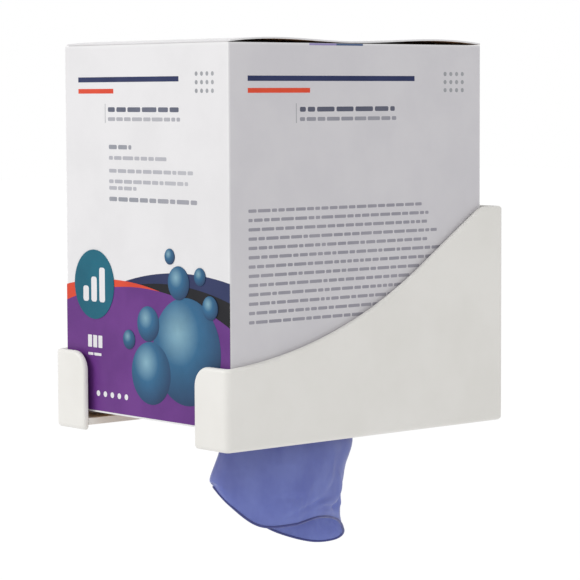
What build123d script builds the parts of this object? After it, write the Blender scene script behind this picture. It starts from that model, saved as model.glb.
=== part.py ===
"""Wall dispenser for disposable gloves: a moulded holder, a folded carton and its gloves.

Frame: the wall is the plane y = 0 and the dispenser stands out from it towards -Y.
X runs across and Z is up. The origin is the centre of the wall screw pattern.
While the pieces are built, heights are measured from the seat, the level at which
the carton stands in the holder, and everything is moved to the frame at the end.
"""
import os
from math import cos, pi, radians, sin, tan

from build123d import *

# Carton
carton_width = 135.0
carton_depth = 172.2
carton_height = 190.0
board = 0.8
fold_radius = 0.9
outlet_length = 112.0
outlet_width = 50.0
flap_seam = 0.6
dust_flap_reach = 58.0
dust_flap_taper = 5.0
dust_flap_end_gap = 4.0
glue_flap_width = 15.0
glue_flap_end_gap = 8.0

# Lid of the carton
lid_side_margin = 0.5
lid_rest_gap = 0.3
lid_rise = 1.6
lid_back_crest = 0.25
lid_dip = 0.53
lid_front_crest = 0.8
tuck_depth = 18.0
tuck_lean = 6.5
tuck_side_gap = 1.2
tuck_front_gap = 0.4
tuck_corner = 12.0

# Holder
wall = 3.0
side_clearance = 1.0
front_clearance = 2.7
rear_gap = 11.3
outer_corner = 4.0
lip_width = 26.0
lip_height = 31.6
lip_corner = 10.0
rear_rim_height = 105.0
rim_start_angle = 4.5
rim_angle = 33.8
shoulder_from_wall = 16.6
shoulder_radius = 12.0
floor_thickness = 3.5
floor_drop = 3.4
skirt = 2.7
rear_ledge = 28.0
floor_corner = 14.0
seat_rail_width = 5.0
seat_rail_round = 1.5
rim_round = 1.8
rim_bevel = 0.6
foot_round = 2.2
heel_height = 5.7
heel_depth = 1.8

# Wall screws
screw_spacing_x = 84.0
screw_spacing_z = 56.0
screw_hole_radius = 2.5
screw_centre_height = 54.0

# Gloves
stack_side_gap = 1.5
stack_rest_gap = 0.3
stack_headroom = 21.3
stack_layers = 14
stack_corner = 9.0
layer_bevel = 2.2
outlet_recess = 10.0
recess_margin = 4.0
glove_gap = 0.3
glove_skin = 1.2
bead_swell = 0.4
bead_height = 2.0
glove_creases = 5
points_per_crease = 4
glove_fold_depth = 1.6
glove_fold_full = 15.0
glove_fold_turn = 30.0
mouth_fall = 25.0
mouth_side_fall = 11.0
mouth_height = -56.0
hollow_top = -14.0

# Sizes that follow from the ones above
inner_width = carton_width + 2 * side_clearance
holder_width = inner_width + 2 * wall
carton_back = -(wall + rear_gap)
carton_front = carton_back - carton_depth
carton_mid = (carton_back + carton_front) / 2
lip_inner = carton_front - front_clearance
holder_front = lip_inner - wall
floor_top = -floor_drop
floor_bottom = floor_top - floor_thickness
foot = floor_bottom - skirt
window_width = holder_width - 2 * lip_width
lid_bottom = carton_height + lid_rest_gap
to_frame = Pos(0, 0, -screw_centre_height)
close = 0.001


def block(x_size, y_low, y_high, z_low, z_high, x_mid=0.0):
    """A box centred on x_mid between two depths and two heights."""
    size_y = y_high - y_low
    size_z = z_high - z_low
    return Pos(x_mid, (y_low + y_high) / 2, (z_low + z_high) / 2) * Box(x_size, size_y, size_z)


def rim_cutter():
    """Everything above the rim as seen from the side: a long arc from the lips, then a
    straight at rim_angle and a round shoulder up to the level of the back."""
    above = rear_rim_height + wall
    before = holder_front - wall
    behind = wall
    low = radians(rim_start_angle)
    high = radians(rim_angle)
    climb = rear_rim_height - lip_height
    run = -shoulder_from_wall - carton_front
    turned = tan(high) * (sin(high) - sin(low)) - cos(low) + cos(high)
    arc_radius = (run * tan(high) - climb) / turned
    arc_centre = (carton_front - arc_radius * sin(low), lip_height + arc_radius * cos(low))
    arc_end = (arc_centre[0] + arc_radius * sin(high), arc_centre[1] - arc_radius * cos(high))
    reach = shoulder_radius * tan(high / 2)
    shoulder_start = (-shoulder_from_wall - reach * cos(high), rear_rim_height - reach * sin(high))
    shoulder_end = (-shoulder_from_wall + reach, rear_rim_height)
    outline = [
        Polyline((before, above), (before, lip_height), (carton_front, lip_height)),
        RadiusArc((carton_front, lip_height), arc_end, -arc_radius),
        Line(arc_end, shoulder_start),
        RadiusArc(shoulder_start, shoulder_end, shoulder_radius),
        Polyline(shoulder_end, (behind, rear_rim_height), (behind, above), (before, above)),
    ]
    profile = make_face(Curve() + outline)
    return extrude(Plane.YZ * profile, amount=holder_width, both=True)


def holder():
    """The moulded wall holder: back, two swept sides, two lips and a floor with a long gap."""
    depth = -holder_front
    plan = Pos(0, holder_front / 2) * RectangleRounded(holder_width, depth, outer_corner)
    pocket_depth = -wall - lip_inner
    pocket = RectangleRounded(inner_width, pocket_depth, outer_corner - wall)
    pocket = Pos(0, lip_inner + pocket_depth / 2) * pocket
    height = rear_rim_height - foot
    shell = Pos(0, 0, foot) * extrude(plan, amount=height)
    shell = fillet(shell.edges().group_by(Axis.Z)[0], foot_round)
    shell -= block(holder_width, -heel_depth, wall, foot, foot + heel_height)
    shell -= Pos(0, 0, foot) * extrude(pocket, amount=height)
    shell -= rim_cutter()
    shell -= block(window_width, holder_front - wall, lip_inner + wall / 2, foot, rear_rim_height)
    lip_corners = [edge for edge in shell.edges().filter_by(Axis.Y) if is_lip_corner(edge)]
    shell = fillet(lip_corners, lip_corner)
    shell = fillet([edge for edge in shell.edges() if is_rim(edge) and is_outer(edge)], rim_round)
    shell = chamfer([edge for edge in shell.edges() if is_rim(edge) and is_inner(edge)], rim_bevel)
    return shell + floor() - wall_screw_holes()


def is_lip_corner(edge):
    """True for the top edge through each lip at its free side."""
    centre = edge.center()
    at_side = abs(abs(centre.X) - window_width / 2) < close
    return at_side and centre.Y < lip_inner and abs(centre.Z - lip_height) < close


def is_rim(edge):
    """True for the long edges along the top of the walls and down the free sides of the lips."""
    box = edge.bounding_box()
    centre = edge.center()
    along_top = box.min.Z > lip_height - lip_corner - close
    free_side = centre.Y < lip_inner + close and abs(abs(centre.X) - window_width / 2) < close
    upright = box.size.Z > close and box.size.X < close and box.size.Y < close
    return free_side or along_top and not upright


def is_outer(edge):
    """True for an edge on the outside faces of the walls."""
    centre = edge.center()
    reach = outer_corner / 3
    beside = abs(centre.X) > holder_width / 2 - reach
    return beside or centre.Y < holder_front + reach or centre.Y > -reach


def is_inner(edge):
    """True for an edge on the inside faces of the walls."""
    centre = edge.center()
    between = abs(centre.X) < inner_width / 2 + close
    return between and lip_inner - close < centre.Y < -wall + close


def floor():
    """Ledges along the sides and back, with the rails that the carton stands on."""
    plate = block(inner_width, lip_inner, -wall, floor_bottom, floor_top)
    gap_back = -wall - rear_ledge
    gap = Pos(0, (holder_front - wall + gap_back) / 2)
    gap *= RectangleRounded(window_width, gap_back - holder_front + wall, floor_corner)
    gap += Pos(0, (holder_front - wall + lip_inner) / 2 + wall) * Rectangle(window_width, 8 * wall)
    plate -= Pos(0, 0, floor_bottom) * extrude(gap, amount=floor_thickness)
    for side in (-1, 1):
        middle = side * (inner_width - seat_rail_width) / 2
        rail = block(seat_rail_width, lip_inner, -wall, floor_top, 0, middle)
        inner_edge = rail.edges().filter_by(Axis.Y).group_by(Axis.Z)[-1].sort_by(Axis.X)
        rail = fillet(inner_edge[-1] if side < 0 else inner_edge[0], seat_rail_round)
        plate += rail
    return plate


def wall_screw_holes():
    """Four round holes through the back, over the middle of the frame."""
    bore = Rot(90, 0, 0) * Cylinder(screw_hole_radius, 4 * wall)
    grid = GridLocations(screw_spacing_x, screw_spacing_z, 2, 2)
    holes = [Pos(at.position.X, 0, screw_centre_height + at.position.Y) * bore for at in grid]
    return Part() + holes


def carton():
    """The folded sheet: four panels, a doubled base with its outlet, dust flaps and glue flap."""
    outside = block(carton_width, carton_front, carton_back, 0, carton_height)
    outside = fillet(outside.edges().filter_by(Axis.Z), fold_radius)
    inside = block(carton_width - 2 * board, carton_front + board, carton_back - board,
                   2 * board, carton_height)
    sheet = outside - inside
    outlet = Pos(0, carton_mid) * SlotOverall(outlet_length, outlet_width, rotation=90)
    sheet -= extrude(outlet, amount=2 * board)
    sheet -= block(carton_width - 2 * board, carton_mid - flap_seam / 2, carton_mid + flap_seam / 2, 0, board)
    for side in (-1, 1):
        sheet += dust_flap(side)
    return sheet + glue_flap()


def dust_flap(side):
    """A flap folded in from the top of a side panel, under the lid."""
    root = carton_width / 2 - board / 2
    tip = carton_width / 2 - board - dust_flap_reach
    front = carton_front + board + dust_flap_end_gap
    back = carton_back - board - dust_flap_end_gap
    outline = Polyline((side * root, front), (side * tip, front + dust_flap_taper),
                       (side * tip, back - dust_flap_taper), (side * root, back), close=True)
    return Pos(0, 0, carton_height - board) * extrude(make_face(outline), amount=board)


def glue_flap():
    """The strip that joins the sheet to itself, stuck inside the back panel."""
    side = carton_width / 2 - board
    flap = block(glue_flap_width, carton_back - 2 * board, carton_back - board, 0,
                 carton_height, side - glue_flap_width / 2)
    low = 2 * board + glue_flap_end_gap
    high = carton_height - dust_flap_end_gap - glue_flap_end_gap
    return flap & block(carton_width, carton_front, carton_back, low, high)


def carton_lid():
    """The lid, hinged on the back panel, bowed up twice, with its tuck flap behind the front."""
    front = carton_front + board + tuck_front_gap
    length = carton_back - front
    under = Spline((carton_back, lid_bottom),
                   (carton_back - lid_back_crest * length, lid_bottom + lid_rise),
                   (carton_back - lid_dip * length, lid_bottom),
                   (carton_back - lid_front_crest * length, lid_bottom + lid_rise),
                   (front, lid_bottom))
    over = Pos(0, board) * under
    ends = [Line(under @ 0, over @ 0), Line(under @ 1, over @ 1)]
    section = make_face(Curve() + [under, over] + ends)
    panel = extrude(Plane.YZ * section, amount=carton_width / 2 - lid_side_margin, both=True)
    tuck_width = carton_width - 2 * board - 2 * tuck_side_gap
    tuck = Pos(0, -tuck_depth / 2) * Rectangle(tuck_width, tuck_depth)
    tuck = fillet(tuck.vertices().group_by(Axis.Y)[0], tuck_corner)
    flap = Pos(0, front, lid_bottom + board) * Rot(tuck_lean, 0, 0) * extrude(Plane.XZ * tuck, amount=-board)
    return panel + flap


def glove_stack():
    """The packed gloves as one block of soft layers, hollowed over the outlet."""
    width = carton_width - 2 * board - 2 * stack_side_gap
    depth = carton_depth - 2 * board - 2 * stack_side_gap
    base = 2 * board + stack_rest_gap
    layer = (carton_height - board - stack_headroom - base) / stack_layers
    outline = Pos(0, carton_mid) * Rectangle(width, depth)
    outline = chamfer(outline.vertices(), stack_corner)
    stack = Part()
    for number in range(stack_layers):
        slab = extrude(outline, amount=layer)
        rims = slab.edges().group_by(Axis.Z)
        slab = chamfer(rims[0] + rims[-1], layer_bevel)
        stack += Pos(0, 0, base + number * layer) * slab
    recess = Pos(0, carton_mid, base)
    recess *= SlotOverall(outlet_length + 2 * recess_margin, outlet_width + 2 * recess_margin, rotation=90)
    return stack - extrude(recess, amount=outlet_recess)


# Sections of the hanging glove, from the top down: height, middle depth behind the
# carton's middle, half breadth in depth, middle and half thickness across
recess_roof = 2 * board + stack_rest_gap + outlet_recess
glove_sections = [
    (recess_roof - glove_gap, 2.0, 34.0, 0.0, 5.0),
    (0.0, 3.0, 40.0, 0.0, 7.0),
    (-12.0, 6.0, 45.0, 1.0, 13.0),
    (-24.0, 8.0, 47.0, 2.0, 17.0),
    (-36.0, 5.0, 48.5, 2.0, 19.0),
    (-54.0, 2.5, 46.5, 2.0, 17.5),
    (-84.0, 2.0, 44.0, 0.0, 16.0),
]


def glove_section(height, y_mid, y_half, x_mid, x_half, inset):
    """One level cut through the glove: a flattened ring with upright creases in its film."""
    points = []
    sides = glove_creases * points_per_crease
    for step in range(sides):
        angle = 2 * pi * step / sides
        swell = 1 + height / glove_fold_turn
        fold = glove_fold_depth * cos(glove_creases * angle + swell) * min(1.0, x_half / glove_fold_full)
        x = x_mid + (x_half - inset + fold) * cos(angle)
        y = carton_mid + y_mid + (y_half - inset) * sin(angle)
        points.append((x, y, height))
    return make_face(Polyline(*points, close=True))


def glove_body(inset):
    """The solid form of the glove, drawn in by inset all round."""
    return loft([glove_section(*size, inset) for size in glove_sections], ruled=True)


def hanging_glove():
    """A glove drawn out of the outlet by its cuff, with a rolled bead round its slanting mouth."""
    hollow = glove_body(glove_skin)
    hollow -= block(carton_width, carton_front, carton_back, hollow_top, carton_height)
    mouth = Pos(0, carton_mid, mouth_height) * Rot(-mouth_fall, -mouth_side_fall, 0)
    bead = glove_body(-bead_swell) - glove_body(glove_skin + bead_swell)
    bead &= mouth * block(2 * carton_width, -carton_depth, carton_depth, 0, bead_height)
    below = mouth * block(2 * carton_width, -carton_depth, carton_depth, -carton_height, 0)
    return glove_body(0) - hollow - below + bead


os.makedirs("parts", exist_ok=True)
nodes = {
    "holder": holder(),
    "carton": carton(),
    "carton_lid": carton_lid(),
    "glove_stack": glove_stack(),
    "hanging_glove": hanging_glove(),
}
for name, shape in nodes.items():
    export_step(to_frame * shape, f"parts/{name}.step")
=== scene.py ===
"""Looks of a wall dispenser for disposable gloves.

The holder, the carton and its lid keep their CAD shapes and get finishes of moulded
plastic and coated board. The print on the carton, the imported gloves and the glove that
hangs from the outlet are pieces made here. Sizes are in millimetres, measured in the
row frame or on a panel of the carton, and become metres when a piece is placed.
"""
import random
from math import atan2, cos, exp, pi, radians, sin, sqrt

import bpy
from mathutils import Matrix, Vector, noise


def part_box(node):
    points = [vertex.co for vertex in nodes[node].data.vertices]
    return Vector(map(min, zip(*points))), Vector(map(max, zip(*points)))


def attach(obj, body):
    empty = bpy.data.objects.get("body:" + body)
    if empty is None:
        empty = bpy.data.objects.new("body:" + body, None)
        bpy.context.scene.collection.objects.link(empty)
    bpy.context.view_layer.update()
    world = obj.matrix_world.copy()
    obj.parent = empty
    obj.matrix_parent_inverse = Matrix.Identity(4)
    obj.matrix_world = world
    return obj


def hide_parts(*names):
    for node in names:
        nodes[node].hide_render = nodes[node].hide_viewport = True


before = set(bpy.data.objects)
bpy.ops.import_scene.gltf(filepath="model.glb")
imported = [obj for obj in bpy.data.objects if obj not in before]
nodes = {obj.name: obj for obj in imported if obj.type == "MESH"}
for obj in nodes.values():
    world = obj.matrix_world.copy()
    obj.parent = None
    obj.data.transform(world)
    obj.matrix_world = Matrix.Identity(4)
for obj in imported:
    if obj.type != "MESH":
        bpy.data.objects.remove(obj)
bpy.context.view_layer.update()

MM = 0.001
X = Vector((1, 0, 0))
Y = Vector((0, 1, 0))
Z = Vector((0, 0, 1))

# The carton's panels, as the CAD model places them
carton_low, carton_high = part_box("carton")
carton_centre = (carton_low + carton_high) / 2
carton_half = (carton_high - carton_low) / 2
panel_width = 2 * carton_half.x / MM
panel_height = 2 * carton_half.z / MM
seat = carton_low.z / MM
board = 0.8
ink_step = 0.03


# ---------------------------------------------------------------- making pieces

def deselect():
    """Nothing selected, and no piece in edit mode."""
    if bpy.context.object and bpy.context.object.mode != "OBJECT":
        bpy.ops.object.mode_set(mode="OBJECT")
    bpy.ops.object.select_all(action="DESELECT")


def pick(piece):
    """Makes a piece the only selected one."""
    deselect()
    piece.select_set(True)
    bpy.context.view_layer.objects.active = piece
    return piece


def named(name):
    """Names the piece that was just added."""
    piece = bpy.context.object
    piece.name = name
    piece.data.name = name
    return piece


def settle(piece):
    """Puts a piece's place, turn and size into its mesh."""
    pick(piece)
    bpy.ops.object.transform_apply(location=True, rotation=True, scale=True)
    return piece


def modify(piece, kind, **settings):
    """Adds a modifier and applies it."""
    pick(piece)
    modifier = piece.modifiers.new(kind.title(), kind)
    for key, value in settings.items():
        setattr(modifier, key, value)
    bpy.ops.object.modifier_apply(modifier=modifier.name)
    return piece


def combine(piece, tool, operation):
    """Cuts a piece with a tool, keeps what they share or adds the tool, and drops the tool."""
    modify(piece, "BOOLEAN", object=tool, operation=operation, solver="EXACT")
    bpy.data.objects.remove(tool)
    return piece


def join(name, pieces):
    """Several pieces as one."""
    pick(pieces[0])
    for piece in pieces[1:]:
        piece.select_set(True)
    bpy.ops.object.join()
    return named(name)


def dress(piece, material, body):
    """Gives a finished piece its material, and the body and slot that it belongs to."""
    piece.data.materials.clear()
    piece.data.materials.append(material)
    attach(piece, body)
    return piece


# ---------------------------------------------------------------- node groups

def put(tree, kind, settings=None, **inputs):
    """Adds a node. An input is a number, a colour or another node's socket."""
    node = tree.nodes.new(kind)
    for key, value in (settings or {}).items():
        setattr(node, key, value)
    for key, value in inputs.items():
        socket = node.inputs[int(key[1:])] if key[1:].isdigit() else node.inputs[key.replace("_", " ")]
        if isinstance(value, bpy.types.NodeSocket):
            tree.links.new(value, socket)
        else:
            socket.default_value = value
    return node


def calculate(tree, operation, first, second=0.0, clamp=False):
    """The result of a sum on one or two values."""
    node = put(tree, "ShaderNodeMath", {"operation": operation, "use_clamp": clamp}, i0=first, i1=second)
    return node.outputs[0]


def blend_colours(tree, share, first, second):
    """A colour between two, by a share."""
    node = put(tree, "ShaderNodeMix", {"data_type": "RGBA"}, i0=share, i6=first, i7=second)
    return node.outputs[2]


def new_group(name, inputs, outputs):
    """An empty node group with named sockets. Returns its tree, input node and output node."""
    tree = bpy.data.node_groups.new(name, "ShaderNodeTree")
    for label, kind, value in inputs:
        socket = tree.interface.new_socket(label, in_out="INPUT", socket_type="NodeSocket" + kind)
        if value is not None:
            socket.default_value = value
    for label, kind in outputs:
        tree.interface.new_socket(label, in_out="OUTPUT", socket_type="NodeSocket" + kind)
    return tree, tree.nodes.new("NodeGroupInput"), tree.nodes.new("NodeGroupOutput")


def make_mottle():
    """Soft cloudy variation between two values, as in moulded or printed surfaces."""
    tree, given, result = new_group(
        "mottle",
        [("Place", "Vector", None), ("Scale", "Float", 60.0), ("Detail", "Float", 3.0),
         ("Low", "Float", 0.0), ("High", "Float", 1.0)],
        [("Value", "Float")],
    )
    cloud = put(tree, "ShaderNodeTexNoise", Vector=given.outputs["Place"],
                Scale=given.outputs["Scale"], Detail=given.outputs["Detail"], Roughness=0.55)
    value = put(tree, "ShaderNodeMapRange", {"interpolation_type": "SMOOTHSTEP"},
                Value=cloud.outputs[0], From_Min=0.3, From_Max=0.7,
                To_Min=given.outputs["Low"], To_Max=given.outputs["High"])
    tree.links.new(value.outputs[0], result.inputs["Value"])
    return tree


def make_relief():
    """A normal with a fine grain and a broad ripple, each with its own depth in metres."""
    tree, given, result = new_group(
        "relief",
        [("Place", "Vector", None), ("Grain Scale", "Float", 2500.0), ("Grain Depth", "Float", 0.00001),
         ("Ripple Scale", "Float", 60.0), ("Ripple Depth", "Float", 0.0001)],
        [("Normal", "Vector")],
    )
    grain = put(tree, "ShaderNodeTexNoise", Vector=given.outputs["Place"],
                Scale=given.outputs["Grain Scale"], Detail=2.0)
    ripple = put(tree, "ShaderNodeTexNoise", Vector=given.outputs["Place"],
                 Scale=given.outputs["Ripple Scale"], Detail=1.5)
    grain_height = calculate(tree, "MULTIPLY", grain.outputs[0], given.outputs["Grain Depth"])
    ripple_height = calculate(tree, "MULTIPLY", ripple.outputs[0], given.outputs["Ripple Depth"])
    height = calculate(tree, "ADD", grain_height, ripple_height)
    bump = put(tree, "ShaderNodeBump", Height=height, Distance=1.0)
    tree.links.new(bump.outputs[0], result.inputs["Normal"])
    return tree


def make_box_faces():
    """Masks on a folded box: 1 on its outside faces, and 1 close to its edges."""
    tree, given, result = new_group(
        "box_faces",
        [("Place", "Vector", None), ("Centre", "Vector", None), ("Half Size", "Vector", None),
         ("Skin", "Float", 0.0004), ("Edge Width", "Float", 0.001)],
        [("Outside", "Float"), ("Edge", "Float")],
    )
    offset = put(tree, "ShaderNodeVectorMath", {"operation": "SUBTRACT"},
                 i0=given.outputs["Place"], i1=given.outputs["Centre"])
    distance = put(tree, "ShaderNodeVectorMath", {"operation": "ABSOLUTE"}, i0=offset.outputs[0])
    depth = put(tree, "ShaderNodeVectorMath", {"operation": "SUBTRACT"},
                i0=given.outputs["Half Size"], i1=distance.outputs[0])
    parts = put(tree, "ShaderNodeSeparateXYZ", Vector=depth.outputs[0])
    x, y, z = parts.outputs
    nearest = calculate(tree, "MINIMUM", calculate(tree, "MINIMUM", x, y), z)
    furthest = calculate(tree, "MAXIMUM", calculate(tree, "MAXIMUM", x, y), z)
    total = calculate(tree, "ADD", calculate(tree, "ADD", x, y), z)
    middle = calculate(tree, "SUBTRACT", calculate(tree, "SUBTRACT", total, nearest), furthest)
    outside = calculate(tree, "LESS_THAN", nearest, given.outputs["Skin"])
    near_edge = calculate(tree, "DIVIDE", middle, given.outputs["Edge Width"])
    edge = calculate(tree, "SUBTRACT", 1.0, near_edge, clamp=True)
    tree.links.new(outside, result.inputs["Outside"])
    tree.links.new(edge, result.inputs["Edge"])
    return tree


mottle_group = make_mottle()
relief_group = make_relief()
box_faces_group = make_box_faces()


def use_group(tree, group, **inputs):
    """Places a node group in a material."""
    return put(tree, "ShaderNodeGroup", {"node_tree": group}, **inputs)


def new_material(name, **sockets):
    """A material with one Principled BSDF. Returns it with its tree, shader and object place."""
    material = bpy.data.materials.new(name)
    material.use_nodes = True
    tree = material.node_tree
    shader = tree.nodes["Principled BSDF"]
    for key, value in sockets.items():
        shader.inputs[key.replace("_", " ")].default_value = value
    place = put(tree, "ShaderNodeTexCoord").outputs["Object"]
    return material, tree, shader, place


def finish(material, tree, shader, colour, roughness, relief=None):
    """Links colour, roughness and relief to the shader, and returns the finished material."""
    tree.links.new(colour, shader.inputs["Base Color"])
    tree.links.new(roughness, shader.inputs["Roughness"])
    if relief is not None:
        tree.links.new(relief, shader.inputs["Normal"])
    return material


def board_relief(tree, place):
    """The fine grain and the slight wave of board, which also show through ink."""
    return use_group(tree, relief_group, Place=place, Grain_Scale=1400.0, Grain_Depth=0.00001,
                     Ripple_Scale=28.0, Ripple_Depth=0.0002).outputs[0]


def board_roughness(tree, place, outside):
    """Patchy gloss on the coated side of board, and matt where it is raw."""
    gloss = use_group(tree, mottle_group, Place=place, Scale=80.0, Detail=4.0, Low=0.34, High=0.44)
    return put(tree, "ShaderNodeMix", i0=outside, i2=RAW_ROUGHNESS, i3=gloss.outputs[0]).outputs[0]


def ink_gloss(tree, place):
    """The uneven roughness of printed ink."""
    gloss = use_group(tree, mottle_group, Place=place, Scale=80.0, Detail=4.0, Low=0.32, High=0.42)
    return gloss.outputs[0]


def mottled(tree, place, scale, detail, colours):
    """A colour that drifts between two in soft clouds."""
    clouds = use_group(tree, mottle_group, Place=place, Scale=scale, Detail=detail)
    return blend_colours(tree, clouds.outputs[0], *colours)


# ---------------------------------------------------------------- materials

# Board: two shades of each surface; the coated white darkened for the sides as painted shade, and
# lightened along the edges as a painted highlight
WHITE_BOARD = ((0.755, 0.745, 0.755, 1), (0.785, 0.775, 0.785, 1))
# A darker copy of the coated white for the side panels: painted shade
SIDE_SHADE_BOARD = ((0.625, 0.61, 0.64, 1), (0.66, 0.645, 0.67, 1))
RAW_BOARD = ((0.52, 0.30, 0.145, 1), (0.66, 0.42, 0.23, 1))
# The white that the board is lightened towards close to its edges: a painted highlight
EDGE_HIGHLIGHT_WHITE = (0.88, 0.88, 0.88, 1)
RAW_ROUGHNESS = 0.85
INK_SPECULAR = 0.15
PLASTIC = ((0.79, 0.775, 0.735, 1), (0.83, 0.815, 0.78, 1))


def moulded_plastic():
    """Warm white moulded plastic, softly glossy, with faint flow marks and rubbed patches."""
    material, tree, shader, place = new_material("moulded_plastic", Specular_IOR_Level=0.45)
    colour = mottled(tree, place, 22.0, 4.0, PLASTIC)
    stretch = put(tree, "ShaderNodeMapping", Vector=place, Scale=(1.0, 0.25, 2.2))
    rubs = use_group(tree, mottle_group, Place=stretch.outputs[0], Scale=160.0, Detail=6.0,
                     Low=0.30, High=0.42)
    relief = use_group(tree, relief_group, Place=place, Grain_Scale=2600.0, Grain_Depth=0.000012,
                       Ripple_Scale=45.0, Ripple_Depth=0.00012)
    return finish(material, tree, shader, colour, rubs.outputs[0], relief.outputs[0])


def folded_board():
    """Coated white board outside, darkened on the sides as painted shade and lightened along its edges as
    a painted highlight, and raw brown board inside and below.
    """
    material, tree, shader, place = new_material("folded_board", Specular_IOR_Level=0.4)
    facing = put(tree, "ShaderNodeSeparateXYZ", Vector=put(tree, "ShaderNodeTexCoord").outputs["Normal"])
    # Faces that point sideways get the darker copy of the white: painted shade on the sides
    sideways = calculate(tree, "GREATER_THAN", calculate(tree, "ABSOLUTE", facing.outputs["X"]), 0.7)
    not_below = calculate(tree, "GREATER_THAN", facing.outputs["Z"], -0.7)
    faces = use_group(tree, box_faces_group, Place=place, Centre=carton_centre, Half_Size=carton_half,
                      Skin=board * MM / 2, Edge_Width=1.4 * MM)
    clouds = use_group(tree, mottle_group, Place=place, Scale=35.0, Detail=3.0).outputs[0]
    white = blend_colours(tree, clouds, *WHITE_BOARD)
    shaded_sides = blend_colours(tree, clouds, *SIDE_SHADE_BOARD)
    coated = blend_colours(tree, sideways, white, shaded_sides)
    # Within the edge width the outside is taken half way to that white: a painted highlight along the
    # edges
    edge_highlight = calculate(tree, "MULTIPLY", faces.outputs["Edge"], 0.5)
    folded = blend_colours(tree, edge_highlight, coated, EDGE_HIGHLIGHT_WHITE)
    raw = mottled(tree, place, 900.0, 4.0, RAW_BOARD)
    outside = calculate(tree, "MULTIPLY", faces.outputs["Outside"], not_below)
    colour = blend_colours(tree, outside, raw, folded)
    roughness = board_roughness(tree, place, outside)
    return finish(material, tree, shader, colour, roughness, board_relief(tree, place))


def lid_board():
    """The same board on the lid, raw on its under side and behind its tuck flap."""
    material, tree, shader, place = new_material("lid_board", Specular_IOR_Level=0.4)
    facing = put(tree, "ShaderNodeSeparateXYZ", Vector=put(tree, "ShaderNodeTexCoord").outputs["Normal"])
    under = calculate(tree, "LESS_THAN", facing.outputs["Z"], -0.3)
    behind = calculate(tree, "GREATER_THAN", facing.outputs["Y"], 0.3)
    outside = calculate(tree, "SUBTRACT", 1.0, calculate(tree, "MAXIMUM", under, behind))
    coated = mottled(tree, place, 35.0, 3.0, WHITE_BOARD)
    raw = mottled(tree, place, 900.0, 4.0, RAW_BOARD)
    colour = blend_colours(tree, outside, raw, coated)
    roughness = board_roughness(tree, place, outside)
    return finish(material, tree, shader, colour, roughness, board_relief(tree, place))


def solid_ink(name, light, dark):
    """A flat field of printed colour, a little uneven and more matt than the board under it."""
    material, tree, shader, place = new_material(name, Specular_IOR_Level=INK_SPECULAR)
    colour = mottled(tree, place, 30.0, 5.0, ((*dark, 1), (*light, 1)))
    return finish(material, tree, shader, colour, ink_gloss(tree, place), board_relief(tree, place))


def bubble_ink():
    """Steel-blue discs shaded like drops, lightest near the upper left and dark at the rim.

    The face of a disc lies in its UV map as a circle about (0.25, 0.25)."""
    material, tree, shader, place = new_material("bubble_ink", Specular_IOR_Level=INK_SPECULAR)
    on_disc = put(tree, "ShaderNodeTexCoord").outputs["UV"]
    distance = put(tree, "ShaderNodeVectorMath", {"operation": "DISTANCE"}, i0=on_disc, i1=(0.19, 0.33, 0))
    ramp = put(tree, "ShaderNodeValToRGB", Fac=distance.outputs["Value"])
    stops = ramp.color_ramp.elements
    stops[0].position = 0.0
    stops[0].color = (0.24, 0.43, 0.53, 1)
    stops[1].position = 0.34
    stops[1].color = (0.022, 0.05, 0.12, 1)
    middle = stops.new(0.15)
    middle.color = (0.035, 0.14, 0.27, 1)
    clouds = use_group(tree, mottle_group, Place=place, Scale=55.0, Detail=4.0, Low=0.85, High=1.0)
    toned = put(tree, "ShaderNodeMix", {"data_type": "RGBA", "blend_type": "MULTIPLY"}, i0=1.0,
                i6=ramp.outputs[0], i7=clouds.outputs[0])
    return finish(material, tree, shader, toned.outputs[2], ink_gloss(tree, place))


def glove_film(name, light, dark):
    """Thin lavender-blue glove film with a satin, finely pebbled skin and cloudy stretch marks."""
    material, tree, shader, place = new_material(
        name, Specular_IOR_Level=0.35, Sheen_Weight=0.25, Sheen_Roughness=0.4,
        Subsurface_Weight=0.12, Subsurface_Radius=(0.002, 0.002, 0.004), Subsurface_Scale=1.0)
    stretch = put(tree, "ShaderNodeMapping", Vector=place, Scale=(1.0, 1.0, 0.75))
    colour = mottled(tree, stretch.outputs[0], 60.0, 3.0, ((*dark, 1), (*light, 1)))
    gloss = use_group(tree, mottle_group, Place=place, Scale=120.0, Detail=4.0, Low=0.44, High=0.58)
    relief = use_group(tree, relief_group, Place=place, Grain_Scale=2200.0, Grain_Depth=0.00002,
                       Ripple_Scale=110.0, Ripple_Depth=0.00022)
    return finish(material, tree, shader, colour, gloss.outputs[0], relief.outputs[0])


# ---------------------------------------------------------------- print on the carton

def panel_place(corner, across, out):
    """Moves millimetres on a panel, across and up from its lower left corner, into the row frame."""
    turn = Matrix((across, Z, out)).transposed().to_4x4()
    return Matrix.Translation(corner) @ turn @ Matrix.Scale(MM, 4)


front_panel = panel_place(carton_low, X, -Y)
right_panel = panel_place(Vector((carton_high.x, carton_low.y, carton_low.z)), Y, X)
left_panel = panel_place(Vector((carton_low.x, carton_high.y, carton_low.z)), -Y, -X)
back_panel = panel_place(Vector((carton_high.x, carton_high.y, carton_low.z)), -X, Y)


def field(name, left, right, low, high, layer=1):
    """A rectangle of ink on a panel."""
    deselect()
    thick = layer * ink_step
    bpy.ops.mesh.primitive_cube_add(size=1, location=((left + right) / 2, (low + high) / 2, thick / 2),
                                    scale=(right - left, high - low, thick))
    return settle(named(name))


def disc(name, across, up, radius, layer=1, stretch=1.0, sides=96):
    """A round or oval field of ink on a panel."""
    deselect()
    thick = layer * ink_step
    bpy.ops.mesh.primitive_cylinder_add(vertices=sides, radius=radius, depth=thick,
                                        location=(across, up, thick / 2), scale=(1, stretch, 1))
    return settle(named(name))


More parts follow.
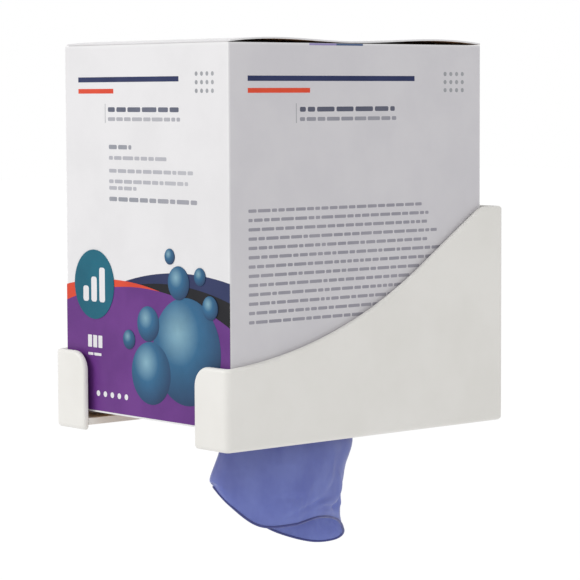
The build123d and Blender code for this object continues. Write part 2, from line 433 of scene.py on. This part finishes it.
def bars(name, sizes, layer=1):
    """Several rounded rectangles of ink: left, right, low and high of each."""
    piece = field(name, *sizes[0], layer)
    bpy.ops.object.mode_set(mode="EDIT")
    thick = layer * ink_step
    for left, right, low, high in sizes[1:]:
        bpy.ops.mesh.primitive_cube_add(size=1, location=((left + right) / 2, (low + high) / 2, thick / 2),
                                        scale=(right - left, high - low, thick))
    bpy.ops.object.mode_set(mode="OBJECT")
    for edge in piece.data.edges:
        low, high = (piece.data.vertices[corner].co for corner in edge.vertices)
        edge.use_edge_sharp = abs(low.z - high.z) > thick / 2
    weights = piece.data.attributes.new("bevel_weight_edge", "FLOAT", "EDGE")
    for edge in piece.data.edges:
        weights.data[edge.index].value = float(edge.use_edge_sharp)
    shortest = min(min(right - left, high - low) for left, right, low, high in sizes)
    return modify(piece, "BEVEL", width=shortest * 0.3, segments=3, limit_method="WEIGHT")


def row_of_strips(start, end, low, high, seed):
    """Plain strips of seeded lengths, in place of one line of small print."""
    chance = random.Random(seed)
    height = high - low
    sizes = []
    at = start
    while at < end - height:
        length = min(height * chance.uniform(1.6, 5.2), end - at)
        sizes.append((at, at + length, low, high))
        at += length + height * 0.55
    return sizes


def lay(piece, place, ink):
    """Turns a finished piece of print into the row frame and dresses it."""
    piece.data.transform(place)
    dress(piece, inks[ink], "dispenser")


def heading(side, place, left, width):
    """The heading of a panel as plain fields: a long navy stripe over a short red one."""
    lay(field(side + "_heading_navy", left, left + width, 171.2, 173.8), place, "navy")
    lay(field(side + "_heading_red", left, left + 0.36 * width, 165.4, 167.8), place, "red")


def sub_lines(side, place, left, right, tone):
    """Two lines of small print under the heading, with a thin rule beside them."""
    low = 156.0
    bold = row_of_strips(left, right - 1, low, low + 2.4, side + "bold")
    plain = row_of_strips(left, right, low - 4.6, low - 2.7, side + "plain")
    lay(bars(side + "_bold_line", bold), place, tone + "_bold")
    lay(bars(side + "_plain_line", plain), place, tone + "_light")
    lay(field(side + "_rule", left - 2.6, left - 2.2, low - 5.6, low + 4.2), place, "grey")


def corner_dots(side, place, left):
    """A small grid of pale grey dots in the upper corner of a panel."""
    low, pitch, radius = 166.5, 4.2, 1.1
    dots = [disc("dot", left + pitch * column, low + pitch * row, radius, sides=24)
            for row in range(3) for column in range(4)]
    lay(join(side + "_corner_dots", dots), place, "grey")


def dome(name, across, radius, layer, sheet):
    """The part of a large disc that shows on a panel, as wide and high as the sheet."""
    foot = -120.0
    band = disc(name, across, foot, radius, layer, sides=384)
    keep = sheet.copy()
    keep.data = sheet.data.copy()
    bpy.context.scene.collection.objects.link(keep)
    keep.data.transform(Matrix.Translation((0, 0, -ink_step)))
    return combine(band, keep, "INTERSECT")


def cover_art(side, place, width):
    """Domed bands of colour along the foot of a panel with a cluster of blue drops over them."""
    sheet = field("sheet", 0, width, 0.9, 100, 12)
    # Colour, middle as a share of the width, radius
    bands = (("navy", 0.74, 196), ("black", 0.63, 190), ("red", 0.30, 190), ("purple", 0.44, 187))
    for layer, (colour, share, radius) in enumerate(bands, 1):
        lay(dome(side + "_band_" + colour, width * share, radius, layer, sheet), place, colour)
    bpy.data.objects.remove(sheet)
    # Across, up and radius
    drops = [(101, 37, 27), (72, 24, 16), (70, 49, 9), (95, 71, 8.5), (112, 75, 4.5), (88, 84, 4),
             (54, 40, 5), (120, 60, 6)]
    pieces = [disc("drop", *drop, layer) for layer, drop in enumerate(drops, 6)]
    lay(join(side + "_drops", pieces), place, "bubble")


def badge(side, place, across, up):
    """A teal oval with three rising bars."""
    radius, tallness, layer = 17.0, 1.06, 14
    lay(disc(side + "_badge", across, up, radius, layer, tallness), place, "teal")
    pitch, width, foot = 7.0, 4.8, up - 9
    rising = [(across - 9.4 + pitch * step, across - 9.4 + width + pitch * step, foot, foot + height)
              for step, height in enumerate((8.0, 13.0, 18.0))]
    lay(bars(side + "_badge_bars", rising, layer + 1), place, "white")


def small_marks(side, place):
    """White trim on the purple field: three bars over a thin line, and a row of five dots."""
    layer, left, pitch, width = 5, 18.4, 4.5, 3.4
    tally = [(left + pitch * number, left + width + pitch * number, 33.8, 40.2) for number in range(3)]
    tally += row_of_strips(left, 31, 29.6, 31.0, side + "tally")
    lay(bars(side + "_tally_bars", tally, layer), place, "white")
    dots = [disc("dot", 27.0 + 6.0 * number, 10.0, 1.5, layer, sides=32) for number in range(5)]
    lay(join(side + "_trim_dots", dots), place, "white")


def instruction_lines(side, place, left):
    """The short block of instructions in the middle of the front."""
    bold = row_of_strips(left, left + 19, 137.0, 139.2, side + "title")
    bold += row_of_strips(left, left + 72, 110.4, 112.6, side + "last")
    lay(bars(side + "_instruction_bold", bold), place, "front_firm")
    thin = []
    for up, right in ((131.6, 49), (125.0, 69), (119.6, 65), (116.2, 23)):
        thin += row_of_strips(left, left + right, up, up + 1.9, side + str(up))
    lay(bars(side + "_instruction_lines", thin), place, "front_small")


def language_lines(side, place, left):
    """Thirteen lines of small print on a side panel."""
    lengths = (119, 122, 123, 128, 121, 131, 126, 124, 129, 125, 122, 118, 84)
    sizes = []
    for number, length in enumerate(lengths):
        low = 107.0 - 4.56 * number
        sizes += row_of_strips(left, left + length, low, low + 1.6, side + "line" + str(number))
    lay(bars(side + "_language_lines", sizes), place, "side_small")


def fold_strip(side, place):
    """Where the print of the next flap runs over the top fold of the side panel."""
    low, high = panel_height - 1.1, panel_height - 0.1
    lay(field(side + "_fold_lilac", 52, 70, low, high), place, "lilac")
    lay(field(side + "_fold_slate", 70, 88, low, high), place, "slate")


def panel_head(side, place, width, text_left, text_right, dots_left, tone):
    """What every printed panel has at its top: heading, two lines of small print and dots."""
    heading(side, place, 12.0, width)
    sub_lines(side, place, text_left, text_right, tone)
    corner_dots(side, place, dots_left)


def print_front(side, place):
    """The print of the front: directions, cover art, badge and trim."""
    panel_head(side, place, 84.0, 37.5, 97, 110, "front")
    instruction_lines(side, place, 38.0)
    cover_art(side, place, panel_width)
    badge(side, place, 24.5, 66.7)
    small_marks(side, place)


def print_side(side, place):
    """The print of a side: many lines of small print and what runs over the top fold."""
    panel_head(side, place, 112.0, 45.6, 111, 146, "side")
    language_lines(side, place, 12.0)
    fold_strip(side, place)


def print_back(side, place):
    """The print of the back: only what every panel has."""
    panel_head(side, place, 84.0, 37.5, 97, 110, "front")


# ---------------------------------------------------------------- gloves

def through(points, at, closed):
    """A point on the smooth curve through a list of points. at runs from 0 to 1."""
    spans = len(points) if closed else len(points) - 1
    place = min(max(at, 0.0), 1.0) * spans
    first = min(int(place), spans - 1)
    part = place - first

    def point(number):
        if closed:
            return points[number % len(points)]
        return points[min(max(number, 0), len(points) - 1)]

    before, start, end, after = (point(first + step) for step in (-1, 0, 1, 2))
    return 0.5 * ((2 * start) + (end - before) * part
                  + (2 * before - 5 * start + 4 * end - after) * part ** 2
                  + (3 * start - before - 3 * end + after) * part ** 3)


# Rings of the hanging glove: height above the seat, front and back, left and right
glove_rings = [
    (10.8, -131.5, -65.5, -4.2, 4.2),
    (0.0, -136.4, -58.6, -6.2, 6.2),
    (-12.0, -137.0, -52.0, -11.0, 13.0),
    (-22.0, -138.8, -48.2, -14.0, 17.0),
    (-35.0, -144.8, -53.4, -15.0, 18.2),
]
# The cuff, from the middle of its near side round by the back: across, depth, height above the seat
cuff_points = [
    (18.5, -104.5, -61.4), (16.5, -84.0, -59.8), (8.5, -64.0, -64.4), (-1.0, -51.0, -73.8),
    (-9.0, -51.0, -79.0), (-14.5, -64.0, -79.0), (-17.0, -87.0, -71.2), (-15.0, -107.0, -60.0),
    (-9.0, -128.0, -48.0), (-1.0, -142.0, -39.5), (8.5, -138.8, -48.3), (15.0, -124.5, -59.9),
]
glove_tip = -143.0
glove_middle = -97.0
bead_radius = 0.65
film_thickness = 0.3
columns = 168
rows = 88
# The waist above the cuff: how far it is drawn to the back and to the front, and the depths
# between which that pull grows from nothing to all of it
waist_back, back_from, back_full = -60.8, -72.0, -52.0
waist_front, front_from, front_full = -142.6, -128.0, -140.0
waist_widening = 1.04


def glove_ring_points(ring_size):
    """Twelve points round one ring of the glove."""
    height, front, back, left, right = ring_size
    points = []
    for number in range(len(cuff_points)):
        angle = 2 * pi * number / len(cuff_points)
        across = (left + right) / 2 + (right - left) / 2 * cos(angle)
        depth = (front + back) / 2 + (back - front) / 2 * sin(angle)
        points.append(Vector((across, depth, height)))
    return points


def glove_columns():
    """The rings as lists of points that run down the glove, with a waist above the cuff."""
    rings = [glove_ring_points(size) for size in glove_rings]
    cuff = [Vector(point) for point in cuff_points]
    waist = []
    for upper, lower in zip(rings[-1], cuff):
        middle = upper.lerp(lower, 0.5)
        back_share = min(1.0, max(0.0, (middle.y - back_from) / (back_full - back_from)))
        front_share = min(1.0, max(0.0, (front_from - middle.y) / (front_from - front_full)))
        middle.y += (waist_back - middle.y) * back_share ** 2
        middle.y += (waist_front - middle.y) * front_share ** 2
        middle.x *= waist_widening
        waist.append(middle)
    return [list(column) for column in zip(*rings, waist, cuff)]


# Creases pressed into the film: turn and fall where each starts and ends, depth and half width
pleats = [
    (0.172, 0.82, 0.128, 0.965, 2.7, 0.012),
    (0.060, 0.93, 0.185, 0.91, 1.9, 0.016),
    (0.020, 0.91, 0.120, 0.85, 1.5, 0.015),
    (0.965, 0.95, 0.045, 0.88, 1.3, 0.014),
    (0.940, 0.80, 0.030, 0.84, 0.8, 0.022),
    (0.600, 0.50, 0.520, 0.85, 1.2, 0.022),
    (0.420, 0.45, 0.380, 0.88, 1.2, 0.024),
]


def pleat_depth(turn, fall, pleat):
    """How deep one crease is at a place on the film: deepest at its middle, none past its ends."""
    turn_1, fall_1, turn_2, fall_2, depth, width = pleat
    along = Vector((((turn_2 - turn_1 + 0.5) % 1) - 0.5, fall_2 - fall_1))
    here = Vector((((turn - turn_1 + 0.5) % 1) - 0.5, fall - fall_1))
    share = min(1.0, max(0.0, here.dot(along) / along.length_squared))
    away = (here - share * along).length / width
    return depth * sin(pi * share) * (exp(-away * away) - 0.45 * exp(-(away / 2.4) ** 2))


def film_folds(turn, fall, point):
    """How far the film is pressed in from its smooth form, in millimetres: gathers that run
    down from the top, the pleats, and wandering ridges and swells that grow towards the cuff."""
    drift = noise.noise(Vector((2.2 * cos(2 * pi * turn), 2.2 * sin(2 * pi * turn), 2.5 * fall)))
    gathers = 0.22 * sin(2 * pi * (9 * turn + 0.5 * fall) + 3.0 * drift) * (1 - 0.55 * fall)
    sweep = point.y * 0.12 + point.z * 0.05 + 2.4 * drift
    swirl = noise.noise(Vector((sweep, point.z * 0.045 - point.y * 0.02, point.x * 0.06)))
    ridge = exp(-(swirl * 5.5) ** 2)
    pressed = sum(pleat_depth(turn, fall, pleat) for pleat in pleats)
    return gathers + pressed + 0.9 * ridge * fall ** 3 + 0.5 * swirl * fall


def hanging_glove():
    """The glove that is drawn out by its cuff: a thin folded tube with a rolled bead."""
    deselect()
    bpy.ops.mesh.primitive_circle_add(vertices=columns, radius=1, fill_type="NOTHING")
    glove = named("glove_film")
    bpy.ops.object.mode_set(mode="EDIT")
    bpy.ops.mesh.select_all(action="SELECT")
    for _ in range(rows):
        bpy.ops.mesh.extrude_region_move(TRANSFORM_OT_translate={"value": (0, 0, -1)})
    bpy.ops.object.mode_set(mode="OBJECT")
    falling = glove_columns()
    for vertex in glove.data.vertices:
        turn = (atan2(vertex.co.y, vertex.co.x) / (2 * pi)) % 1.0
        fall = -vertex.co.z / rows
        around = [through(list(ring), fall, False) for ring in falling]
        point = through(around, turn, True)
        outward = Vector((point.x * 2.2, point.y - glove_middle, 0)).normalized()
        # Folds fade towards the top, the cuff and the tip
        near_top = min(1.0, 4 * fall)
        near_cuff = min(1.0, 0.2 + 8 * (1 - fall))
        near_tip = min(1.0, max(0.1, (point.y - glove_tip) / 22))
        folds = film_folds(turn, fall, point) * near_top * near_cuff * near_tip
        vertex.co = point - outward * folds
    glove.data.transform(Matrix.Translation((0, 0, seat)))
    pick(glove)
    bpy.ops.object.mode_set(mode="EDIT")
    bpy.ops.mesh.select_all(action="SELECT")
    bpy.ops.mesh.normals_make_consistent(inside=False)
    bpy.ops.object.mode_set(mode="OBJECT")
    return glove


def make_glove():
    """The hanging glove: its film, and a bead rolled along the edge of the cuff."""
    glove = hanging_glove()
    pick(glove)
    bpy.ops.object.mode_set(mode="EDIT")
    bpy.ops.mesh.select_all(action="DESELECT")
    bpy.ops.object.mode_set(mode="OBJECT")
    last_row = range(columns * rows, columns * (rows + 1))
    for number in last_row:
        glove.data.vertices[number].select = True
    bpy.ops.object.mode_set(mode="EDIT")
    bpy.ops.mesh.select_mode(type="EDGE")
    bpy.ops.mesh.duplicate()
    bpy.ops.mesh.separate(type="SELECTED")
    bpy.ops.object.mode_set(mode="OBJECT")
    bead = [piece for piece in bpy.context.selected_objects if piece != glove][0]
    pick(bead)
    bpy.ops.object.convert(target="CURVE")
    bead.data.bevel_depth = bead_radius
    bead.data.bevel_resolution = 4
    bpy.ops.object.convert(target="MESH")
    bead.name = "glove_bead"
    modify(glove, "SOLIDIFY", thickness=film_thickness, offset=-1.0, use_even_offset=True)
    for piece in (glove, bead):
        piece.data.transform(Matrix.Scale(MM, 4))
        pick(piece)
        bpy.ops.object.shade_smooth()
    film = glove_film("glove_film", (0.165, 0.208, 0.545), (0.128, 0.162, 0.475))
    dress(glove, film, "dispenser")
    rolled = glove_film("bead_film", (0.07, 0.08, 0.26), (0.05, 0.06, 0.21))
    dress(bead, rolled, "dispenser")
    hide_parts("hanging_glove")


def packed_gloves():
    """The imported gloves: thin folded layers, wavy at their edges, hollowed over the outlet."""
    low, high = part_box("glove_stack")
    low, high = low / MM, high / MM
    middle = (low + high) / 2
    size = high - low
    deselect()
    bpy.ops.mesh.primitive_cube_add(size=1, location=middle, scale=size)
    stack = settle(named("packed_gloves"))
    bpy.ops.object.mode_set(mode="EDIT")
    bpy.ops.mesh.select_all(action="SELECT")
    bpy.ops.mesh.subdivide(number_cuts=63)
    bpy.ops.object.mode_set(mode="OBJECT")
    layers, corner, crease_depth = 42, 9.0, 3.2
    for vertex in stack.data.vertices:
        place = vertex.co.copy()
        level = (place.z - low.z) / size.z
        number = int(min(level * layers, layers - 1))
        swell = sqrt(abs(sin(pi * level * layers)))
        shift = noise.noise(Vector((place.x * 0.05, place.y * 0.05, number * 3.1)))
        reach_x = abs(place.x - middle.x) / (size.x / 2)
        reach_y = abs(place.y - middle.y) / (size.y / 2)
        draw = 0.6 + 1.4 * (1 - swell) + 1.6 * abs(shift)
        over = max(0.0, (reach_x * size.x + reach_y * size.y) / 2 - (size.x + size.y) / 2 + corner)
        vertex.co.x -= (place.x - middle.x) / (size.x / 2) * (draw * reach_x ** 6 + over / 2)
        vertex.co.y -= (place.y - middle.y) / (size.y / 2) * (draw * reach_y ** 6 + over / 2)
        end = 7.0 if level > 0.5 else 2.0
        crease = crease_depth * abs(noise.noise(Vector((place.x * 0.035, place.y * 0.022, end))))
        flat = max(0.0, 1 - 12 * min(level, 1 - level))
        vertex.co.z += (0.5 - level) * 2 * flat * crease
    recess = outlet_recess(low)
    combine(stack, recess, "DIFFERENCE")
    stack.data.transform(Matrix.Scale(MM, 4))
    pick(stack)
    bpy.ops.object.shade_smooth_by_angle(angle=radians(40))
    film = glove_film("packed_film", (0.145, 0.16, 0.40), (0.075, 0.085, 0.27))
    dress(stack, film, "dispenser")
    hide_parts("glove_stack")


def outlet_recess(low):
    """The long hollow that the fingers reach into, as a tool for cutting the stack."""
    length, width, depth = 120.0, 58.0, 10.2
    middle = Vector((0, carton_centre.y / MM, low.z))
    deselect()
    bpy.ops.mesh.primitive_cube_add(size=1, location=middle, scale=(width, length - width, 2 * depth))
    slot = settle(named("slot"))
    for end in (-1, 1):
        deselect()
        bpy.ops.mesh.primitive_cylinder_add(vertices=64, radius=width / 2, depth=2 * depth,
                                            location=middle + end * Y * (length - width) / 2)
        combine(slot, settle(named("slot_end")), "UNION")
    return slot


# ---------------------------------------------------------------- dressing the dispenser

inks = {
    "navy": solid_ink("navy_ink", (0.030, 0.040, 0.115), (0.018, 0.026, 0.085)),
    "red": solid_ink("red_ink", (0.76, 0.085, 0.038), (0.64, 0.06, 0.03)),
    "purple": solid_ink("purple_ink", (0.155, 0.042, 0.245), (0.120, 0.030, 0.20)),
    "black": solid_ink("black_ink", (0.012, 0.012, 0.016), (0.006, 0.006, 0.009)),
    "teal": solid_ink("teal_ink", (0.010, 0.135, 0.20), (0.006, 0.10, 0.155)),
    "white": solid_ink("white_ink", (0.79, 0.78, 0.80), (0.75, 0.74, 0.76)),
    "lilac": solid_ink("lilac_ink", (0.36, 0.31, 0.56), (0.29, 0.25, 0.48)),
    "slate": solid_ink("slate_ink", (0.085, 0.13, 0.26), (0.06, 0.10, 0.20)),
    "grey": solid_ink("grey_ink", (0.40, 0.41, 0.43), (0.32, 0.33, 0.35)),
    "front_bold": solid_ink("front_bold_ink", (0.15, 0.16, 0.21), (0.11, 0.12, 0.165)),
    "front_light": solid_ink("front_light_ink", (0.46, 0.46, 0.49), (0.40, 0.40, 0.44)),
    "front_small": solid_ink("front_small_ink", (0.50, 0.50, 0.53), (0.44, 0.44, 0.48)),
    "front_firm": solid_ink("front_firm_ink", (0.36, 0.36, 0.40), (0.30, 0.31, 0.35)),
    # The side inks are print, made darker than the front inks as painted shade of the side panels
    "side_bold": solid_ink("side_bold_ink", (0.13, 0.135, 0.18), (0.095, 0.10, 0.145)),
    "side_light": solid_ink("side_light_ink", (0.34, 0.34, 0.38), (0.29, 0.29, 0.335)),
    "side_small": solid_ink("side_small_ink", (0.35, 0.34, 0.385), (0.30, 0.295, 0.34)),
    "bubble": bubble_ink(),
}

nodes["holder"].material_slots[0].material = moulded_plastic()
nodes["carton"].material_slots[0].material = folded_board()
nodes["carton_lid"].material_slots[0].material = lid_board()
print_front("front", front_panel)
print_side("right", right_panel)
print_side("left", left_panel)
print_back("back", back_panel)
make_glove()
packed_gloves()


# ---------------------------------------------------------------- floor, light and camera

# How bright the floor and the room look, and how bright they are as light
floor_height = -0.42
floor_glow = 1.04
floor_glow_seen = 0.955
floor_glow_as_light = 0.35
room_light = 0.505


def seen_directly(tree):
    """1 for rays from the camera, through clear things and off glossy ones, and 0 for the rest."""
    ray = put(tree, "ShaderNodeLightPath")
    direct = calculate(tree, "MAXIMUM", ray.outputs["Is Camera Ray"], ray.outputs["Is Transmission Ray"])
    return calculate(tree, "MAXIMUM", direct, ray.outputs["Is Glossy Ray"])


def pale_floor():
    """A plain pale floor that looks white, lights things from below and is clear from underneath."""
    deselect()
    bpy.ops.mesh.primitive_plane_add(size=24, location=(0, 0, floor_height))
    floor = named("pale_floor")
    material = bpy.data.materials.new("pale_floor")
    material.use_nodes = True
    tree = material.node_tree
    shader = tree.nodes["Principled BSDF"]
    shader.inputs["Base Color"].default_value = (0.9, 0.9, 0.9, 1)
    shader.inputs["Roughness"].default_value = 0.8
    glow = put(tree, "ShaderNodeEmission", Color=(1, 1, 1, 1), Strength=floor_glow)
    share = put(tree, "ShaderNodeMix", i0=seen_directly(tree), i2=floor_glow_as_light, i3=floor_glow_seen)
    mixed = put(tree, "ShaderNodeMixShader", i0=share.outputs[0], i1=shader.outputs[0], i2=glow.outputs[0])
    underneath = put(tree, "ShaderNodeNewGeometry").outputs["Backfacing"]
    clear = put(tree, "ShaderNodeBsdfTransparent")
    surface = put(tree, "ShaderNodeMixShader", i0=underneath, i1=mixed.outputs[0], i2=clear.outputs[0])
    tree.links.new(surface.outputs[0], tree.nodes["Material Output"].inputs["Surface"])
    floor.data.materials.append(material)


def soft_room():
    """An even white room: plain white where it is seen, and a softer level as light."""
    world = bpy.data.worlds.new("soft_room")
    bpy.context.scene.world = world
    world.use_nodes = True
    tree = world.node_tree
    background = tree.nodes["Background"]
    background.inputs["Color"].default_value = (1, 1, 1, 1)
    strength = put(tree, "ShaderNodeMix", i0=seen_directly(tree), i2=room_light, i3=1.0)
    tree.links.new(strength.outputs[0], background.inputs["Strength"])


def lamp(name, place, size, power):
    """A square soft light that points at the middle of the dispenser."""
    target = Vector((0, -0.1, 0))
    light = bpy.data.lights.new(name, "AREA")
    light.shape = "SQUARE"
    light.size = size
    light.energy = power
    holder = bpy.data.objects.new(name, light)
    bpy.context.scene.collection.objects.link(holder)
    holder.location = place
    holder.rotation_euler = (target - Vector(place)).to_track_quat("-Z", "Y").to_euler()


# The view: its lens in millimetres, its sideways shift as a share of the picture, where it
# stands in metres, and its turn to the side, downwards and about its own axis in degrees
view_lens = 153.37
view_shift = -0.0233
view_from = (0.9925, -0.9465, 0.110)
view_yaw, view_pitch, view_roll = -48.88, 4.5, -0.22


def camera():
    """Looks along the front and the right side from a little above the seat."""
    view = bpy.data.cameras.new("view")
    view.sensor_width = 36.0
    view.lens = view_lens
    view.shift_x = view_shift
    view.clip_end = 60.0
    stand = bpy.data.objects.new("view", view)
    bpy.context.scene.collection.objects.link(stand)
    yaw, pitch, roll = radians(view_yaw), radians(view_pitch), radians(view_roll)
    ahead = Vector((sin(yaw) * cos(pitch), cos(yaw) * cos(pitch), -sin(pitch)))
    across = Vector((cos(yaw), -sin(yaw), 0))
    up = across.cross(ahead)
    right = cos(roll) * across + sin(roll) * up
    top = -sin(roll) * across + cos(roll) * up
    turn = Matrix((right, top, -ahead)).transposed().to_4x4()
    stand.matrix_world = Matrix.Translation(view_from) @ turn
    bpy.context.scene.camera = stand


pale_floor()
soft_room()
lamp("key", (-0.65, -1.55, 0.7), 0.9, 11.2)
lamp("fill", (1.5, -0.5, 0.5), 0.9, 4.3)
lamp("overhead", (0.1, -0.3, 1.6), 0.8, 5.5)
camera()
bpy.context.scene.view_settings.view_transform = "Standard"
